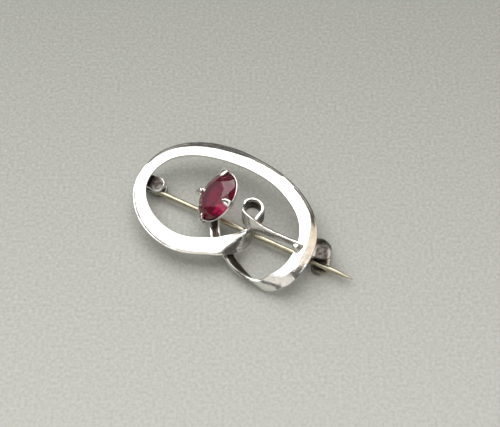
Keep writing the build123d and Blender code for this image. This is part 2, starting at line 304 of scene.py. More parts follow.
STONE_FRAME = local_frame(place(*STONE_PLACE), STONE_AXIS, STONE_NORMAL)
PIN_WAY = Vector((cos(radians(PIN_TURN)), -sin(radians(PIN_TURN)), 0))
HINGE_FRAME = local_frame(
    place(*HINGE_PLACE, HINGE_HEIGHT),
    PIN_WAY,
    Vector((PIN_WAY.y * sin(LEAN), -PIN_WAY.x * sin(LEAN), cos(LEAN))),
)
HOOK_FRAME = local_frame(
    place(*HOOK_PLACE, HOOK_HEIGHT / 2),
    Vector((-sin(radians(HOOK_TURN)), cos(radians(HOOK_TURN)), 0)),
    Vector((cos(radians(HOOK_TURN)), sin(radians(HOOK_TURN)), 0)),
)


# Mesh helpers


def patina_and_shade_layer(bm):
    """Gives the vertex layer that holds how dark the silver is painted, as patina and as painted
    shade.
    """
    return bm.verts.layers.float.get("film") or bm.verts.layers.float.new("film")


def sweep_rings(bm, rings, marks=None, spots=None):
    """Draws the first ring, extrudes it through the others and closes both ends."""
    film = patina_and_shade_layer(bm)
    strip = bm.verts.layers.float_vector.get("strip") or bm.verts.layers.float_vector.new("strip")
    marks = marks or [[0.0] * len(rings[0])] * len(rings)
    spots = spots or [[(0.0, 0.0, 0.0)] * len(rings[0])] * len(rings)
    verts = [bm.verts.new(point) for point in rings[0]]
    first = [bm.edges.new((verts[i - 1], verts[i])) for i in range(len(verts))]
    edges = first
    for index, (ring, ring_marks, ring_spots) in enumerate(zip(rings, marks, spots)):
        if index > 0:
            geom = bmesh.ops.extrude_edge_only(bm, edges=edges)["geom"]
            grown = {part for part in geom if isinstance(part, bmesh.types.BMVert)}
            verts = [
                next(end for edge in vert.link_edges if (end := edge.other_vert(vert)) in grown)
                for vert in verts
            ]
            edges = [bm.edges.get((verts[i - 1], verts[i])) for i in range(len(verts))]
        for vert, point, mark, spot in zip(verts, ring, ring_marks, ring_spots):
            vert.co = point
            vert[film] = mark
            vert[strip] = spot
    bmesh.ops.contextual_create(bm, geom=first)
    bmesh.ops.contextual_create(bm, geom=edges)


def round_edges(bm, edges, offset, segments):
    """Rounds these edges and gives the vertices that this makes."""
    return bmesh.ops.bevel(
        bm,
        geom=edges,
        offset=offset,
        segments=segments,
        profile=0.5,
        affect="EDGES",
        material=-1,
        clamp_overlap=True,
    )["verts"]


def raise_outline(bm, outline, bottom, height, bevel, patina_and_shade_values):
    """Makes a plate from a flat outline, with rounded rims, and with its own patina and painted
    shade on the top and on the side.
    """
    layer = patina_and_shade_layer(bm)
    verts = [bm.verts.new((x, y, bottom)) for x, y in outline]
    plate = bmesh.ops.contextual_create(bm, geom=verts)["faces"]
    raised = bmesh.ops.extrude_face_region(bm, geom=plate)["geom"]
    tops = [part for part in raised if isinstance(part, bmesh.types.BMVert)]
    bmesh.ops.translate(bm, vec=(0, 0, height), verts=tops)
    faces = {face for vert in verts + tops for face in vert.link_faces}
    bmesh.ops.recalc_face_normals(bm, faces=list(faces))
    rims = {
        edge
        for vert in verts + tops
        for edge in vert.link_edges
        if abs(edge.verts[0].co.z - edge.verts[1].co.z) < NEAR
    }
    top = bottom + height
    for vert in round_edges(bm, list(rims), bevel, 4):
        if vert.co.z > top - NEAR:
            vert[layer] = patina_and_shade_values[0]
        elif vert.co.z < top - bevel + NEAR:
            vert[layer] = patina_and_shade_values[1]


def finish_piece(name, bm, matrix, material, body, nodes, sharp=40):
    """Places a mesh, scales it to metres, hangs it under its body and hides the CAD parts it
    replaces.
    """
    if not bm.faces:
        raise RuntimeError(f"{name} has no faces")
    # The silver reads the patina and painted shade layer, so a piece with no dark parts has it too
    patina_and_shade_layer(bm)
    bm.transform(matrix)
    bmesh.ops.scale(bm, vec=(MM, MM, MM), verts=bm.verts[:])
    bmesh.ops.recalc_face_normals(bm, faces=bm.faces[:])
    mesh = bpy.data.meshes.new(name)
    bm.to_mesh(mesh)
    bm.free()
    mesh.shade_smooth()
    mesh.set_sharp_from_angle(angle=radians(sharp))
    piece = bpy.data.objects.new(name, mesh)
    bpy.context.scene.collection.objects.link(piece)
    piece.data.materials.append(material)
    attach(piece, body)
    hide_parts(*nodes)
    return piece


# Ribbon


class SmoothWay:
    """A smooth curve through points, with the same run as the frame's own."""

    def __init__(self, points):
        self.points = np.array([tuple(point) for point in points])
        steps = np.linalg.norm(np.diff(self.points, axis=0), axis=1)
        self.knots = np.concatenate([[0.0], np.cumsum(steps)])
        count = len(points)
        system = np.zeros((count, count))
        wanted = np.zeros((count, 3))
        system[0, 0] = system[-1, -1] = 1
        for i in range(1, count - 1):
            system[i, i - 1] = steps[i - 1]
            system[i, i] = 2 * (steps[i - 1] + steps[i])
            system[i, i + 1] = steps[i]
            rise = (self.points[i + 1] - self.points[i]) / steps[i]
            fall = (self.points[i] - self.points[i - 1]) / steps[i - 1]
            wanted[i] = 6 * (rise - fall)
        self.bends = np.linalg.solve(system, wanted)

    def at(self, length):
        """Gives the point and the direction at this length along the knots."""
        i = int(np.clip(np.searchsorted(self.knots, length) - 1, 0, len(self.knots) - 2))
        step = self.knots[i + 1] - self.knots[i]
        ahead = (length - self.knots[i]) / step
        back = 1 - ahead
        start, finish = self.points[i], self.points[i + 1]
        bend_a, bend_b = self.bends[i], self.bends[i + 1]
        point = back * start + ahead * finish
        point = point + ((back**3 - back) * bend_a + (ahead**3 - ahead) * bend_b) * step**2 / 6
        way = (finish - start) / step
        way = way + ((3 * ahead**2 - 1) * bend_b - (3 * back**2 - 1) * bend_a) * step / 6
        return Vector(point), Vector(way).normalized()


def placed_rows(table):
    """Gives middle point, breadth, turn, crest, ridge and film for each row of a table."""
    return [
        (place(along, across, rise * RING_LIFT), breadth * RIBBON_WIDTH, *rest)
        for along, across, rise, breadth, *rest in table
    ]


def ribbon_rows():
    """Gives the same for the whole ribbon, from its root round the loop to the tie strip."""
    rows = []
    foot = (STONE_RADII[0] + COLLET_LIP) * COLLET_FOOT
    for reach, sink, breadth, *rest in STEM_ROWS:
        local = Vector((-foot * reach, 0, -COLLET_DEPTH - sink))
        rows.append((STONE_FRAME @ local, breadth * RIBBON_WIDTH, *rest))
    rows += placed_rows(RIBBON_ROWS)
    centre = place(*LOOP_PLACE, 0)
    for index in range(LOOP_STATIONS):
        share = index / (LOOP_STATIONS - 1)
        angle = radians(lerp(LOOP_TURNS, share))
        spot = centre + Vector((cos(angle), sin(angle), 0)) * LOOP_RADIUS
        spot.z = lerp(LOOP_RISE, share) * RING_LIFT
        breadth = lerp(LOOP_BREADTH, sin(pi * share)) * RIBBON_WIDTH
        rows.append((spot, breadth, 90, 0.0, LOOP_RIDGE, lerp(LOOP_PATINA_AND_SHADE, share**3)))
    return rows + placed_rows(CROSSING_ROWS)


def eased(lengths, knots, values, reach):
    """Gives the values along the ribbon, straight between rows and then softened."""
    straight = np.interp(lengths, knots, values)
    spread = int(round(reach / (lengths[1] - lengths[0])))
    window = np.hanning(2 * spread + 1)
    padded = np.concatenate([[straight[0]] * spread, straight, [straight[-1]] * spread])
    return np.convolve(padded, window / window.sum(), mode="valid")


def square_edge(edge, angle):
    """Gives a point on the ribbon's edge: flat, with its corners rounded."""
    out, up = cos(radians(angle)), sin(radians(angle))
    return edge * abs(out) ** 0.5, edge * (abs(up) ** 0.5 if up > 0 else -(abs(up) ** 0.5))


def ribbon_profile(breadth, thickness, crest, ridge, film):
    """Gives one section's outline, and how dark each corner is painted, as patina and painted
    shade.
    """
    edge = thickness / 2
    half = breadth / 2 - edge
    top = crest * half
    soft, crisp = RIDGE_HEIGHTS
    power = lerp(RIDGE_POWERS, min(1.0, max(0.0, (ridge - soft) / (crisp - soft))))
    outline, marks = [], []
    for angle in EDGE_ANGLES:
        out, up = square_edge(edge, angle)
        outline.append((half + out, up))
        marks.append(film * max(0.0, angle / 90))
    for way, shares in FRONT_PLACES:
        for ahead in shares:
            outline.append((lerp((top, way * half), ahead), edge + ridge * (1 - ahead**power)))
            marks.append(film)
    for angle in reversed(EDGE_ANGLES):
        out, up = square_edge(edge, angle)
        outline.append((-half - out, up))
        marks.append(0.0)
    # The hollow side is dark, partly patina and partly painted shade, and left bright along its
    # borders
    for ahead, dark in HOLLOW_PATINA_AND_SHADE:
        outline.append((ahead * half, -edge))
        marks.append(dark)
    return outline, marks


def build_ribbon(settings):
    """Makes the wound ribbon with its square edges and its crowned or creased front."""
    points, *columns = zip(*ribbon_rows())
    way = SmoothWay(points)
    count = ceil(way.knots[-1] / settings.ribbon_step)
    lengths = np.linspace(0, way.knots[-1], count + 1)
    columns = [eased(lengths, way.knots, column, EASE_REACH) for column in columns]
    rings, marks, spots = [], [], []
    for length, breadth, turn, crest, ridge, film in zip(lengths, *columns):
        point, along = way.at(length)
        side = along.cross(Vector((0, 0, 1))).normalized()
        upward = side.cross(along)
        outward = side * cos(radians(turn)) - upward * sin(radians(turn))
        front = outward.cross(along)
        outline, patina_and_shade_values = ribbon_profile(breadth, settings.ribbon_thickness, crest, ridge, film)
        rings.append([point + outward * x + front * y for x, y in outline])
        marks.append(patina_and_shade_values)
        spots.append([(length, x, 0.0) for x, y in outline])
    bm = bmesh.new()
    sweep_rings(bm, rings, marks, spots)
    return bm


# Setting


def build_collet(settings):
    """Makes the open cup under the stone by spinning its wall and stretching it to an oval."""
    top = [radius + COLLET_LIP for radius in STONE_RADII]
    foot = [radius * COLLET_FOOT for radius in top]
    seat = [radius + SEAT_GAP for radius in STONE_RADII]
    base = [radius - COLLET_WALL for radius in foot]
    outside = [lerp(pair, 0.5) for pair in zip(foot, top)]
    inside = [lerp(pair, 0.5) for pair in zip(base, seat)]
    rim, soft = settings.collet_rim, COLLET_SOFTNESS
    wall = [
        # radii, how far past them, height, patina and painted shade
        (base, soft, -COLLET_DEPTH, 0.7),
        (foot, -soft, -COLLET_DEPTH, 0.4),
        (foot, 0.0, -COLLET_DEPTH + soft, 0.2),
        (outside, 0.0, -COLLET_DEPTH * 0.55, 0.35),
        (top, -rim * 0.5, -rim * 1.6, 0.3),
        (top, 0.0, -rim, 0.0),
        (top, 0.0, -rim * 0.75, 0.0),
        (top, -soft / 3, -rim * 0.4, 0.0),
        (top, -soft * 1.6, -rim * 0.1, 0.0),
        (seat, soft, 0.0, 0.0),
        (seat, 0.0, -soft, 0.6),
        # The inside of the cup is painted dark as shade, so less light comes up into the stone
        (inside, 0.0, -COLLET_DEPTH * 0.5, 1.0),
        (base, 0.0, -COLLET_DEPTH + soft, 1.0),
    ]
    bm = bmesh.new()
    layer = patina_and_shade_layer(bm)
    verts = [bm.verts.new((1, 0, index)) for index in range(len(wall))]
    edges = [bm.edges.new((verts[i - 1], verts[i])) for i in range(len(verts))]
    bmesh.ops.spin(
        bm,
        geom=verts + edges,
        axis=(0, 0, 1),
        cent=(0, 0, 0),
        angle=2 * pi,
        steps=COLLET_STEPS,
        use_merge=True,
    )
    bmesh.ops.remove_doubles(bm, verts=bm.verts[:], dist=NEAR)
    for vert in bm.verts:
        radii, past, height, film = wall[int(round(vert.co.z))]
        vert.co = (vert.co.x * (radii[0] + past), vert.co.y * (radii[1] + past), height)
        vert[layer] = film
    return bm


def claw_ring(point, across, normal, breadth, thick, sunk):
    """Gives a claw's section, between an oval and a rectangle, and how dark each corner is, dark
    along the groove.
    """
    ring, patina_and_shade_values = [], []
    for corner in range(CLAW_CORNERS):
        angle = 2 * pi * corner / CLAW_CORNERS
        x = abs(cos(angle)) ** CLAW_POWERS[0] * (1 if cos(angle) > 0 else -1)
        y = abs(sin(angle)) ** CLAW_POWERS[1] * (1 if sin(angle) > 0 else -1)
        # The groove runs along the middle of the outer face, and is darkened
        slot = sunk * (corner == 3 * CLAW_CORNERS // 4)
        depth = y * thick * (1 - GROOVE_DEPTH * slot)
        ring.append(point + across * x * breadth - normal * depth)
        patina_and_shade_values.append(slot)
    return ring, patina_and_shade_values


def build_claws(settings):
    """Makes the four claws that turn over the crown."""
    bm = bmesh.new()
    slope = lerp((1.0, COLLET_FOOT), settings.claw_root / COLLET_DEPTH)
    for turn, width, reach, stand, thickness, groove in CLAWS:
        half = thickness / 2
        rise = GIRDLE_HEIGHT / 2 + CLAW_GAP + half
        lead = Vector((cos(radians(turn)), sin(radians(turn)), 0))
        across = Vector((-lead.y, lead.x, 0))
        radius = 1 / hypot(lead.x / STONE_RADII[0], lead.y / STONE_RADII[1])
        crown = CROWN_HEIGHT * reach / (radius * (1 - TABLE_SHARE))
        knees = [
            ((radius + COLLET_LIP) * slope, -settings.claw_root),
            (radius + SEAT_GAP + half + stand, CLAW_BOW + stand / 2),
            (radius - reach / 4 + stand / 2, crown / 4 + rise + CLAW_BOW + stand / 4),
            (radius - reach, crown + rise),
        ]
        way = SmoothWay([lead * out + Vector((0, 0, up)) for out, up in knees])
        sections = []
        for step in range(CLAW_STEPS + 1):
            share = step / CLAW_STEPS
            point, along = way.at(share * way.knots[-1])
            normal = across.cross(along).normalized()
            close = sin(pi / 2 * min(1.0, (1 + CLAW_BLUNT - share) / CLAW_TIP))
            breadth = lerp((width, width * CLAW_TAPER[0]), share) / 2 * close
            thick = half * lerp((CLAW_TAPER[1], 1.0), close)
            sunk = groove * (CLAW_GROOVE[0] < share < CLAW_GROOVE[1])
            sections.append(claw_ring(point, across, normal, breadth, thick, sunk))
        sweep_rings(bm, *zip(*sections))
    return bm


def build_beads():
    """Makes the bead at the strip's end and the small solder drops."""
    bm = bmesh.new()
    for along, across, rise, radius, flat in BEADS:
        spot = place(along, across, rise * RING_LIFT)
        matrix = Matrix.Translation(spot) @ Matrix.Diagonal((1, 1, flat, 1))
        bmesh.ops.create_uvsphere(bm, u_segments=28, v_segments=18, radius=radius, matrix=matrix)
    return bm


# Hinge, hook and pin


def raise_ear(bm, bottom, thickness, bevel, patina_and_shade_values):
    """Makes one hinge ear: a round plate with a straight tail towards the wall."""
    reach = asin(HINGE_WIDTH / 2 / EAR_RADIUS)
    outline = []
    for step in range(EAR_STEPS + 1):
        angle = lerp((reach - pi, pi - reach), step / EAR_STEPS)
        outline.append((EAR_RADIUS * cos(angle), EAR_RADIUS * sin(angle)))
    tail = -(EAR_RADIUS + HINGE_BACK + HINGE_WALL / 2)
    outline += [(tail, HINGE_WIDTH / 2), (tail, -HINGE_WIDTH / 2)]
    raise_outline(bm, outline, bottom, thickness, bevel, patina_and_shade_values)


def cut_foot(bm, height):
    """Cuts the hinge level at this height over the floor and closes the cut."""
    level = HINGE_FRAME.inverted()
    cut = bmesh.ops.bisect_plane(
        bm,
        geom=bm.verts[:] + bm.edges[:] + bm.faces[:],
        plane_co=level @ Vector((0, 0, height)),
        plane_no=level.to_3x3() @ Vector((0, 0, -1)),
        clear_outer=True,
    )
    rim = [part for part in cut["geom_cut"] if isinstance(part, bmesh.types.BMEdge)]
    bmesh.ops.edgeloop_fill(bm, edges=rim)


def build_hinge(settings):
    """Makes the two ears, their back wall and the flat foot."""
    bm = bmesh.new()
    # The hinge leans, so its lower ear is made this much too deep and then cut level
    depth = 2 * EAR_RADIUS * tan(LEAN)
    bottom = -STACK_HALF - depth
    bevel = settings.ear_bevel
    raise_ear(bm, EAR_ROOM / 2, EAR_THICKNESS, bevel, UPPER_EAR_PATINA_AND_SHADE)
    raise_ear(bm, bottom, EAR_THICKNESS + depth, bevel / 2, LOWER_EAR_PATINA_AND_SHADE)
    cut_foot(bm, HINGE_PROUD)
    front = -(EAR_RADIUS + HINGE_BACK)
    half = HINGE_WIDTH / 2 + HINGE_PROUD
    back = front - HINGE_WALL
    outline = [(front, -half), (front, half), (back, half), (back, -half)]
    top = (HINGE_TOP * RING_LIFT - HINGE_HEIGHT) / cos(LEAN)
    raise_outline(bm, outline, bottom, top - bottom, HINGE_BEVEL, HINGE_PATINA_AND_SHADE)
    cut_foot(bm, 0.0)
    return bm


def hook_bends():
    """Gives the depth, height and right edge of each section along the hook's strip."""
    half = HOOK_HEIGHT / 2 - HOOK_THICKNESS / 2
    back = HOOK_BACK - HOOK_THICKNESS / 2
    bends = [
        (-HOOK_FOOT, -half, 0.86),
        (-HOOK_FOOT * 0.75, -half, 0.96),
        (-HOOK_FOOT * 0.4, -half, 1.0),
    ]
    for step in range(HOOK_STEPS + 1):
        angle = lerp((-pi / 2, pi / 2), step / HOOK_STEPS)
        bends.append((back * cos(angle), half * sin(angle), 1.0))
    bends += [(-HOOK_BROW * 0.7, half, 1.0), (-HOOK_BROW, half, 0.97)]
    narrowed = []
    for depth, height, share in bends:
        reach = (HOOK_BEND_WAY[0] * depth + HOOK_BEND_WAY[1] * height) / HOOK_BEND_REACH
        narrowed.append((depth, height, share - HOOK_NARROWING * max(0.0, reach - 0.5) ** 3))
    return narrowed


def hook_section():
    """Gives the place across, rise and film of each corner of the hook's strip."""
    edge = HOOK_THICKNESS / 2
    inner = HOOK_WIDTH - 2 * edge

    def rim(middle, start, film):
        angles = [radians(start + 45 * step) for step in range(5)]
        return [(middle + edge * cos(angle), edge * sin(angle), film) for angle in angles]

    outside = [(edge + inner * ahead, edge, film) for ahead, film in HOOK_PATINA_AND_SHADE]
    inside = [(edge + inner * ahead, -edge, 1.0) for ahead in (0.2, 0.4, 0.6, 0.8)]
    right, left = HOOK_RIM_PATINA_AND_SHADE
    return rim(HOOK_WIDTH - edge, -90, right) + outside + rim(edge, 90, left) + inside


def build_hook():
    """Makes the hook: one bent strip with a round back and foot, its mouth to the near side."""
    bends, section = hook_bends(), hook_section()
    rings, marks = [], []
    for index, (x, y, share) in enumerate(bends):
        before = bends[max(index - 1, 0)]
        after = bends[min(index + 1, len(bends) - 1)]
        way = Vector((after[0] - before[0], after[1] - before[1], 0)).normalized()
        outward = Vector((way.y, -way.x, 0))
        ring = []
        for across, rise, film in section:
            bulge = 1 - ((across - 0.5 * HOOK_WIDTH) / (0.5 * HOOK_WIDTH)) ** 2
            depth = x * (1 + HOOK_BULGES[0 if x > 0 else 1] * bulge)
            ring.append(Vector((depth, y, across * share)) + outward * rise)
        rings.append(ring)
        end_lightening = HOOK_END_LIGHTENING[index] if index < len(HOOK_END_LIGHTENING) else 1.0
        marks.append([film * end_lightening for across, rise, film in section])
    bm = bmesh.new()
    sweep_rings(bm, rings, marks)
    # The ends are bent, so they are split into triangles to catch the light evenly
    bmesh.ops.triangulate(bm, faces=[face for face in bm.faces if len(face.verts) > 4])
    return bm


def wire_ring(centre, across, upward, radius):
    """Gives one round section of the wire."""
    angles = [2 * pi * corner / WIRE_CORNERS for corner in range(WIRE_CORNERS)]
    return [centre + (across * cos(angle) + upward * sin(angle)) * radius for angle in angles]


def build_pin(settings):
    """Makes the wire pin: an open eye round the rivet, a straight stem and a long point."""
    upward = Vector((0, 0, 1))
    rings = []

    def eye_ring(angle, radius):
        lead = Vector((cos(angle), sin(angle), 0))
        rings.append(wire_ring(lead * EYE_RADIUS, lead, upward, radius))

    def stem_ring(length, radius):
        centre = Vector((length, -EYE_RADIUS, 0))
        rings.append(wire_ring(centre, Vector((0, -1, 0)), upward, radius))

    opening = radians(EYE_OPENING)
    for inset, share in EYE_END:
        eye_ring(opening + inset / EYE_RADIUS, WIRE_RADIUS * share)
    for step in range(EYE_STEPS + 1):
        turns = (opening + EYE_END_LENGTH / EYE_RADIUS, radians(270))
        eye_ring(lerp(turns, step / EYE_STEPS), WIRE_RADIUS)
    shaft = PIN_LENGTH - POINT_LENGTH
    for step in range(1, SHAFT_STEPS + 1):
        stem_ring(shaft * step / SHAFT_STEPS, WIRE_RADIUS)
    for step in range(1, POINT_STEPS + 1):
        share = step / POINT_STEPS
        radius = lerp((WIRE_RADIUS, POINT_RADIUS), share**settings.point_fullness)
        stem_ring(shaft + POINT_LENGTH * share - POINT_CAP, radius)
    for out, share in POINT_END:
        stem_ring(PIN_LENGTH - POINT_CAP + out, POINT_RADIUS * share)
    bm = bmesh.new()
    sweep_rings(bm, rings)
    return bm


def build_rivet():
    """Makes the rivet, a little short at the top so that it is filed flush inside the ear."""
    bm = bmesh.new()
    low, high = RIVET_INSET
    bmesh.ops.create_cone(
        bm,
        cap_ends=True,
        segments=40,
        radius1=RIVET_RADIUS,
        radius2=RIVET_RADIUS,
        depth=2 * STACK_HALF - low - high,
        matrix=Matrix.Translation((0, 0, (low - high) / 2)),
    )
    rims = [edge for edge in bm.edges if edge.calc_face_angle(0) > 1]
    round_edges(bm, rims, RIVET_BEVEL, 3)
    return bm


# Materials


def add_node(tree, kind, inputs=None, **options):
    """Adds a shader node, sets its options, and sets or links its inputs."""
    node = tree.nodes.new(kind)
    for name, value in options.items():
        setattr(node, name, value)
    for name, value in (inputs or {}).items():
        if isinstance(value, bpy.types.NodeSocket):
            tree.links.new(value, node.inputs[name])
        else:
            node.inputs[name].default_value = value
    return node


def blend_colours(tree, share, first, second):
    """Mixes two colours by a mask and gives the result's socket."""
    factor, colour_a, colour_b = 0, 6, 7
    inputs = {factor: share, colour_a: first, colour_b: second}
    return add_node(tree, "ShaderNodeMix", inputs, data_type="RGBA").outputs[2]


def stretch(tree, value, low, high, start=0.0, finish=1.0):
    """Stretches a value's range from low and high to start and finish."""
    inputs = {"Value": value, "From Min": low, "From Max": high, "To Min": start, "To Max": finish}
    return add_node(tree, "ShaderNodeMapRange", inputs).outputs[0]


def arithmetic(tree, kind, first, second=0.0):
    """Joins two values by one sum and gives the result's socket."""
    return add_node(tree, "ShaderNodeMath", {0: first, 1: second}, operation=kind).outputs[0]


def noise(tree, spot, scale, detail, **more):
    """Adds a noise of this many spots in a millimetre and gives its socket."""
    inputs = {"Vector": spot, "Scale": scale, "Detail": detail, **more}
    return add_node(tree, "ShaderNodeTexNoise", inputs).outputs[0]


def mapped(tree, spot, scale, turn=(0.0, 0.0, 0.0)):
    """Stretches and turns coordinates and gives their socket."""
    inputs = {"Vector": spot, "Rotation": turn, "Scale": scale}
    return add_node(tree, "ShaderNodeMapping", inputs).outputs[0]


def own_spot(tree, turn=(0.0, 0.0, 0.0)):
    """Gives the socket of a piece's own coordinates, in millimetres."""
    coordinates = add_node(tree, "ShaderNodeTexCoord").outputs["Object"]
    return mapped(tree, coordinates, (1 / MM, 1 / MM, 1 / MM), turn)


def bump(tree, height, depth, normal=None, strength=1.0, **options):
    """Adds relief of this depth in millimetres and gives its normal's socket."""
    inputs = {"Strength": strength, "Distance": depth * MM, "Height": height}
    if normal is not None:
        inputs["Normal"] = normal
    return add_node(tree, "ShaderNodeBump", inputs, **options).outputs[0]


def polish_marks():
    """Makes the node group for smudges, fine scratches and soft dents."""
    name = "Polish marks"
    if name in bpy.data.node_groups:
        return bpy.data.node_groups[name]
    group = bpy.data.node_groups.new(name, "ShaderNodeTree")
    add_socket = group.interface.new_socket
    add_socket(name="Place", in_out="INPUT", socket_type="NodeSocketVector")
    for title, default in (("Smudges per mm", 0.8), ("Dents per mm", 0.6), ("Scratch width", 0.02)):
        socket = add_socket(name=title, in_out="INPUT", socket_type="NodeSocketFloat")
        socket.default_value = default
    for title in ("Smudge", "Scratches", "Dents"):
        add_socket(name=title, in_out="OUTPUT", socket_type="NodeSocketFloat")
    given = group.nodes.new("NodeGroupInput").outputs
    made = group.nodes.new("NodeGroupOutput").inputs
    spot = given["Place"]
    smudge = noise(group, spot, given["Smudges per mm"], 4.0, Roughness=0.62)
    dents = noise(group, spot, given["Dents per mm"], 1.5, Roughness=0.4)
    lines = []
    for turn in ((0.3, 0.2, 0.7), (-0.5, 0.4, -0.9)):
        drawn = noise(group, mapped(group, spot, (0.12, 3.5, 3.5), turn), 1.0, 2.0)
        spread = arithmetic(group, "ABSOLUTE", arithmetic(group, "SUBTRACT", drawn, 0.5))
        lines.append(stretch(group, spread, 0.0, given["Scratch width"], 1.0, 0.0))
    group.links.new(stretch(group, smudge, 0.38, 0.68), made["Smudge"])
    group.links.new(arithmetic(group, "MAXIMUM", *lines), made["Scratches"])
    group.links.new(dents, made["Dents"])
    return group


def marks_on(tree, **values):
    """Places the polish group in a material, and gives its sockets and the coordinates."""
    spot = own_spot(tree)
    inputs = {name.replace("_", " "): value for name, value in values.items()}
    inputs["Place"] = spot
    group = add_node(tree, "ShaderNodeGroup", inputs, node_tree=polish_marks())
    return group.outputs, spot


def relief(tree, marks, dent_depth, scratch_depth):
    """Turns the dents and scratches into a bumped normal."""
    soft = bump(tree, marks["Dents"], dent_depth)
    return bump(tree, marks["Scratches"], scratch_depth, soft, invert=True)


def finish_shader(tree, colour, roughness, normal, **more):
    """Adds the surface shader and links it to the output."""
    inputs = {"Base Color": colour, "Roughness": roughness, "Normal": normal}
    inputs.update({name.replace("_", " "): value for name, value in more.items()})
    shader = add_node(tree, "ShaderNodeBsdfPrincipled", inputs)
    add_node(tree, "ShaderNodeOutputMaterial", {"Surface": shader.outputs[0]})


def add_silver(tree, colours):
    """Makes polished silver, darkened by the patina and painted shade layer, which stands for
    patina in its hollows and for shade and dark reflections.
    """
    marks, spot = marks_on(tree)
    film = add_node(tree, "ShaderNodeAttribute", attribute_name="film").outputs["Fac"]
    strip = add_node(tree, "ShaderNodeAttribute", attribute_name="strip").outputs["Vector"]
    streaks = noise(tree, mapped(tree, strip, (0.45, 3.2, 1.0)), 1.0, 3.0, Distortion=0.6)
    # Only the ribbon carries strip coordinates, so the other pieces have no streaks
    length = add_node(tree, "ShaderNodeVectorMath", {0: strip}, operation="LENGTH")
    unmarked = stretch(tree, length.outputs["Value"], 0.0, 0.01, 1.0, 0.0)
    streaks = arithmetic(tree, "MAXIMUM", stretch(tree, streaks, 0.38, 0.54, 0.2, 1.15), unmarked)
    clouds = stretch(tree, noise(tree, spot, 1.3, 5.0), 0.35, 0.65, 0.86, 1.08)
    uneven = arithmetic(tree, "MULTIPLY", clouds, streaks)
    # A full coat of patina and painted shade stays whole, and a thin one breaks into streaks
    whole = arithmetic(tree, "MULTIPLY", arithmetic(tree, "POWER", film, 4.0), 0.92)
    streaked_patina_and_shade = arithmetic(tree, "MAXIMUM", whole, arithmetic(tree, "MULTIPLY", film, uneven))
    stain = arithmetic(tree, "MULTIPLY", marks["Smudge"], 0.08)
    mask = stretch(tree, arithmetic(tree, "MAXIMUM", streaked_patina_and_shade, stain), 0.0, 1.0)
    dull = arithmetic(tree, "MULTIPLY", marks["Smudge"], 0.09)
    # The dark colour is laid on as patina and as painted shade
    colour = blend_colours(tree, mask, colours.silver, colours.patina_and_shade_colour)
    rough = arithmetic(tree, "ADD", dull, stretch(tree, mask, 0.0, 1.0, 0.10, 0.32))
    finish_shader(tree, colour, rough, relief(tree, marks, 0.10, 0.0025), Metallic=1.0)


def add_garnet(tree, colours):
    """Makes clear deep red stone with a few rubbed marks."""
    marks, spot = marks_on(tree, Scratch_width=0.008)
    shade = stretch(tree, noise(tree, spot, 0.5, 3.0), 0.35, 0.65)
    colour = blend_colours(tree, shade, colours.garnet, colours.garnet_deep)
    rough = arithmetic(tree, "ADD", arithmetic(tree, "MULTIPLY", marks["Smudge"], 0.04), 0.01)
    normal = relief(tree, marks, 0.01, 0.0005)
    finish_shader(tree, colour, rough, normal, IOR=1.77, Transmission_Weight=0.78)


def add_wire(tree, colours):
    """Makes slightly yellow drawn wire, with lines along its length."""
    marks, spot = marks_on(tree, Dents_per_mm=0.9)
    lines = noise(tree, mapped(tree, spot, (0.1, 9.0, 9.0)), 1.0, 3.0)
    mask = arithmetic(tree, "MULTIPLY", marks["Smudge"], 0.55)
    dull = arithmetic(tree, "MULTIPLY", marks["Smudge"], 0.10)
    colour = blend_colours(tree, mask, colours.wire, colours.wire_stain)
    rough = arithmetic(tree, "ADD", stretch(tree, lines, 0.3, 0.7, 0.10, 0.20), dull)
    normal = bump(tree, lines, 0.004, relief(tree, marks, 0.04, 0.002))
    finish_shader(tree, colour, rough, normal, Metallic=1.0)


def add_floor(tree, colours):
    """Makes plain pale board, painted darker to the back as shade, with a fine cloth-like grain."""
    spot = own_spot(tree, (0.0, 0.0, radians(-CAMERA_TURN)))
    away = add_node(tree, "ShaderNodeSeparateXYZ", {0: spot}).outputs["Y"]
    grain = noise(tree, spot, 2.0, 3.0)
    mottle = stretch(tree, grain, 0.2, 0.8, -0.34, 0.34)
    # The board is painted darker towards the back, as shade
    shade = arithmetic(tree, "ADD", stretch(tree, away, -45.0, 60.0), mottle)
    colour = blend_colours(tree, shade, colours.floor, colours.floor_painted_shade)
    finish_shader(tree, colour, 0.9, bump(tree, grain, 0.05, strength=0.4))


MATERIALS = {
    # colour property: name, nodes
    "silver": ("Tarnished silver", add_silver),
    "garnet": ("Cut garnet", add_garnet),
    "wire": ("Drawn pin wire", add_wire),
    "floor": ("floor", add_floor),
}


def material_of(kind, colours):
    """Gives one of these materials, which is made the first time."""
    name, add_nodes = MATERIALS[kind]
    if name not in bpy.data.materials:
        material = bpy.data.materials.new(name)
        material.use_nodes = True
        material.diffuse_color = getattr(colours, kind)
        material.node_tree.nodes.clear()
        add_nodes(material.node_tree, colours)
    return bpy.data.materials[name]


# Settings that a user would change


def length_property(title, note, default):
    """Makes one length property, given in millimetres and kept in metres."""
    return bpy.props.FloatProperty(
        name=title, description=note, default=default * MM, min=0.0, precision=5, unit="LENGTH"
    )


def power_property(title, note, default):
    """Makes one property for a light's power."""
    return bpy.props.FloatProperty(
        name=title, description=note, default=default, min=0.0, unit="POWER"
    )


def colour_property(title, note, default):
    """Makes one colour property."""
    return bpy.props.FloatVectorProperty(
        name=title,
        description=note,
        default=(*default, 1.0),
        size=4,
        min=0.0,
        max=1.0,
        subtype="COLOR",
    )


class RibbonSizes(bpy.types.PropertyGroup):
    """Sizes of the wound ribbon"""

    ribbon_thickness: length_property("Thickness", "Thickness of the ribbon at its edges", 0.5)
    ribbon_step: length_property("Step", "Length between two sections of the ribbon", 0.2)


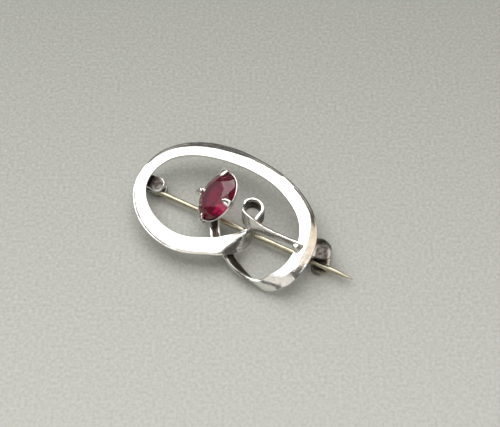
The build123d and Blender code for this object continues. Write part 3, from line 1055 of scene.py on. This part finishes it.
class SettingSizes(bpy.types.PropertyGroup):
    """Sizes of the collet and claws"""

    collet_rim: length_property("Rim", "Height of the collet's upper lip", 0.28)
    claw_root: length_property("Claw root", "How far below the girdle a claw starts", 0.6)


class FindingSizes(bpy.types.PropertyGroup):
    """Sizes of the hinge"""

    ear_bevel: length_property("Ear bevel", "Breadth of the bright rim round the ears", 0.3)


class PinShape(bpy.types.PropertyGroup):
    """Shape of the pin's point"""

    point_fullness: bpy.props.FloatProperty(
        name="Fullness",
        description="How full the point is: 1 is a plain cone",
        default=3.0,
        min=1.0,
        max=4.0,
        subtype="FACTOR",
    )


class BroochColours(bpy.types.PropertyGroup):
    """Colours of the metals, the stone and the floor"""

    silver: colour_property("Silver", "Polished silver", (0.93, 0.915, 0.88))
    # The dark colour stands both for patina and for painted shade
    patina_and_shade_colour: colour_property("Tarnish", "Dark film in the hollows", (0.060, 0.048, 0.040))
    garnet: colour_property("Garnet", "Clear part of the stone", (0.50, 0.008, 0.080))
    garnet_deep: colour_property("Deep garnet", "Darker part of the stone", (0.30, 0.004, 0.048))
    wire: colour_property("Wire", "Nickel silver wire", (0.60, 0.56, 0.43))
    wire_stain: colour_property("Wire stain", "Stains on the wire", (0.36, 0.31, 0.22))
    floor: colour_property("Floor", "Pale board under the brooch", (0.66, 0.675, 0.63))
    floor_painted_shade: colour_property("Far floor", "The board away from the light", (0.37, 0.38, 0.345))


class StudioLight(bpy.types.PropertyGroup):
    """Strength of the studio light"""

    key_power: power_property("Key", "Power of the large soft light", 1.7)
    warm_power: power_property("Warm", "Power of the small warm light", 0.16)
    front_power: power_property("Front", "Power of the weak light in front", 0.62)
    left_power: power_property("Left", "Power of the weak light at the left", 0.09)
    spark_power: power_property("Spark", "Power of the little light that catches the stone", 0.06)
    surroundings: bpy.props.FloatProperty(
        name="Surroundings",
        description="Brightness of the room",
        default=0.10,
        min=0.0,
        subtype="FACTOR",
    )


def millimetres(settings):
    """Gives a property group's lengths in millimetres."""
    names = settings.__annotations__
    return SimpleNamespace(**{name: getattr(settings, name) / MM for name in names})


# Operators


def finish_silver(context, name, bm, matrix, node="frame"):
    """Finishes one silver piece, and gives what its operator returns."""
    silver = material_of("silver", context.scene.brooch_colours)
    finish_piece(name, bm, matrix, silver, "brooch", [node])
    return {"FINISHED"}


class BROOCH_OT_ribbon(bpy.types.Operator):
    """Adds the ribbon that winds round the ring and the loop"""

    bl_idname = "brooch.ribbon"
    bl_label = "Add ribbon"

    def execute(self, context):
        bm = build_ribbon(millimetres(context.scene.brooch_ribbon))
        return finish_silver(context, "ribbon", bm, Matrix.Identity(4))


class BROOCH_OT_collet(bpy.types.Operator):
    """Adds the cup under the stone"""

    bl_idname = "brooch.collet"
    bl_label = "Add collet"

    def execute(self, context):
        bm = build_collet(millimetres(context.scene.brooch_setting))
        return finish_silver(context, "collet", bm, STONE_FRAME)


class BROOCH_OT_claws(bpy.types.Operator):
    """Adds the four claws that hold the stone"""

    bl_idname = "brooch.claws"
    bl_label = "Add claws"

    def execute(self, context):
        bm = build_claws(millimetres(context.scene.brooch_setting))
        return finish_silver(context, "claws", bm, STONE_FRAME)


class BROOCH_OT_beads(bpy.types.Operator):
    """Adds the bead and the drops of solder"""

    bl_idname = "brooch.beads"
    bl_label = "Add bead and solder"

    def execute(self, context):
        return finish_silver(context, "beads", build_beads(), Matrix.Identity(4))


class BROOCH_OT_hinge(bpy.types.Operator):
    """Adds the hinge's ears, wall and foot"""

    bl_idname = "brooch.hinge"
    bl_label = "Add hinge"

    def execute(self, context):
        bm = build_hinge(millimetres(context.scene.brooch_findings))
        return finish_silver(context, "hinge", bm, HINGE_FRAME)


class BROOCH_OT_hook(bpy.types.Operator):
    """Adds the hook that catches the pin"""

    bl_idname = "brooch.hook"
    bl_label = "Add hook"

    def execute(self, context):
        return finish_silver(context, "hook", build_hook(), HOOK_FRAME)


class BROOCH_OT_pin(bpy.types.Operator):
    """Adds the wire pin with its eye and point"""

    bl_idname = "brooch.pin"
    bl_label = "Add pin"

    def execute(self, context):
        bm = build_pin(context.scene.brooch_pin)
        wire = material_of("wire", context.scene.brooch_colours)
        finish_piece("pin_wire", bm, HINGE_FRAME, wire, "pin", ["pin"], sharp=60)
        return {"FINISHED"}


class BROOCH_OT_rivet(bpy.types.Operator):
    """Adds the rivet through the ears and the pin's eye"""

    bl_idname = "brooch.rivet"
    bl_label = "Add rivet"

    def execute(self, context):
        return finish_silver(context, "rivet", build_rivet(), HINGE_FRAME, "hinge_rivet")


class BROOCH_OT_stone(bpy.types.Operator):
    """Finishes the cut stone in its own red"""

    bl_idname = "brooch.stone"
    bl_label = "Finish stone"

    def execute(self, context):
        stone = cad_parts["stone"]
        stone.data.materials.clear()
        stone.data.materials.append(material_of("garnet", context.scene.brooch_colours))
        return {"FINISHED"}


def add_softbox(name, way, distance, breadth, power, colour):
    """Hangs one round soft light, turned to the brooch."""
    lamp = bpy.data.lights.new(name, "AREA")
    lamp.shape = "DISK"
    lamp.size = breadth
    lamp.energy = power
    lamp.color = colour
    light = bpy.data.objects.new(name, lamp)
    way = Vector(way).normalized()
    light.location = way * distance
    light.rotation_euler = way.to_track_quat("Z", "Y").to_euler()
    bpy.context.scene.collection.objects.link(light)
    return light


class BROOCH_OT_stage(bpy.types.Operator):
    """Adds the floor, the soft lights and the camera"""

    bl_idname = "brooch.stage"
    bl_label = "Add stage"

    def execute(self, context):
        light = context.scene.brooch_light
        bm = bmesh.new()
        bmesh.ops.create_grid(bm, x_segments=2, y_segments=2, size=FLOOR_HALF * MM)
        mesh = bpy.data.meshes.new("floor")
        bm.to_mesh(mesh)
        bm.free()
        floor = bpy.data.objects.new("floor", mesh)
        floor.location.z = FLOOR_DROP * MM
        floor.data.materials.append(material_of("floor", context.scene.brooch_colours))
        context.scene.collection.objects.link(floor)
        lights = [
            add_softbox(name, way, distance, breadth, getattr(light, power), colour)
            for name, way, distance, breadth, power, colour in LIGHTS
        ]

        context.scene.view_settings.view_transform = "Standard"
        world = bpy.data.worlds.new("room")
        context.scene.world = world
        world.use_nodes = True
        backdrop = world.node_tree.nodes["Background"]
        backdrop.inputs["Color"].default_value = ROOM_COLOUR
        backdrop.inputs["Strength"].default_value = light.surroundings

        lens = bpy.data.cameras.new("camera")
        lens.angle = radians(CAMERA_FIELD)
        lens.clip_start = 0.01
        camera = bpy.data.objects.new("camera", lens)
        turn, rise = radians(CAMERA_TURN), radians(CAMERA_RISE)
        back = Vector((sin(turn) * cos(rise), -cos(turn) * cos(rise), sin(rise)))
        camera.location = (Vector(CAMERA_AIM) + back * CAMERA_DISTANCE) * MM
        camera.rotation_euler = (-back).to_track_quat("-Z", "Y").to_euler()
        context.scene.collection.objects.link(camera)
        context.scene.camera = camera
        return {"FINISHED"}


OPERATORS = (
    BROOCH_OT_ribbon,
    BROOCH_OT_collet,
    BROOCH_OT_claws,
    BROOCH_OT_beads,
    BROOCH_OT_hinge,
    BROOCH_OT_hook,
    BROOCH_OT_pin,
    BROOCH_OT_rivet,
    BROOCH_OT_stone,
    BROOCH_OT_stage,
)
GROUPS = {
    "brooch_ribbon": RibbonSizes,
    "brooch_setting": SettingSizes,
    "brooch_findings": FindingSizes,
    "brooch_pin": PinShape,
    "brooch_colours": BroochColours,
    "brooch_light": StudioLight,
}


class BROOCH_PT_panel(bpy.types.Panel):
    """Lists the brooch's sizes, colours and operators"""

    bl_idname = "BROOCH_PT_panel"
    bl_label = "Garnet brooch"
    bl_space_type = "VIEW_3D"
    bl_region_type = "UI"
    bl_category = "Brooch"

    def draw(self, context):
        for name, group in GROUPS.items():
            box = self.layout.box()
            settings = getattr(context.scene, name)
            for title in group.__annotations__:
                box.prop(settings, title)
        for operator in OPERATORS:
            self.layout.operator(operator.bl_idname)


CLASSES = (*GROUPS.values(), *OPERATORS, BROOCH_PT_panel)


def register():
    for kind in CLASSES:
        bpy.utils.register_class(kind)
    for name, group in GROUPS.items():
        setattr(bpy.types.Scene, name, bpy.props.PointerProperty(type=group))


def unregister():
    for name in GROUPS:
        delattr(bpy.types.Scene, name)
    for kind in reversed(CLASSES):
        bpy.utils.unregister_class(kind)


def main():
    """Makes every piece and the stage."""
    register()
    bpy.ops.brooch.ribbon()
    bpy.ops.brooch.collet()
    bpy.ops.brooch.claws()
    bpy.ops.brooch.beads()
    bpy.ops.brooch.hinge()
    bpy.ops.brooch.hook()
    bpy.ops.brooch.pin()
    bpy.ops.brooch.rivet()
    bpy.ops.brooch.stone()
    bpy.ops.brooch.stage()


if __name__ == "__main__":
    main()
